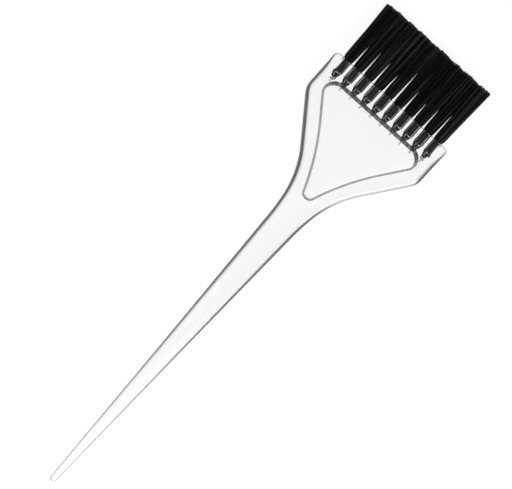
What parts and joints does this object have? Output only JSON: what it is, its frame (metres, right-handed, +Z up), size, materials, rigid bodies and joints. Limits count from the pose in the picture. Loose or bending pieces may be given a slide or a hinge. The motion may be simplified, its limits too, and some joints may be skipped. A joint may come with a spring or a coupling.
{
  "type": "hair tint brush",
  "caption": "Flat clear moulded brush with a pointed rat-tail handle, a triangular head with a thin web in its window, and one row of black bristle tufts for painting hair colour.",
  "frame": {"origin": "on the surface that the brush lies on, under the middle of its length and width", "axes": "+Y along the brush towards the ends of the bristles, +X across its face, +Z up out of its face"},
  "size_m": [0.0566, 0.22, 0.0065],
  "materials": {
    "clear_plastic": "polished",
    "bristle": "satin",
    "anchor_metal": "drawn"
  },
  "bodies": {
    "root": {"handle": "clear_plastic", "tuft_01": "bristle", "tuft_02": "bristle", "tuft_03": "bristle", "tuft_04": "bristle", "tuft_05": "bristle", "tuft_06": "bristle", "tuft_07": "bristle", "tuft_08": "bristle", "tuft_09": "bristle", "tuft_10": "bristle", "anchor_01": "anchor_metal", "anchor_02": "anchor_metal", "anchor_03": "anchor_metal", "anchor_04": "anchor_metal", "anchor_05": "anchor_metal", "anchor_06": "anchor_metal", "anchor_07": "anchor_metal", "anchor_08": "anchor_metal", "anchor_09": "anchor_metal", "anchor_10": "anchor_metal"}
  },
  "joints": []
}
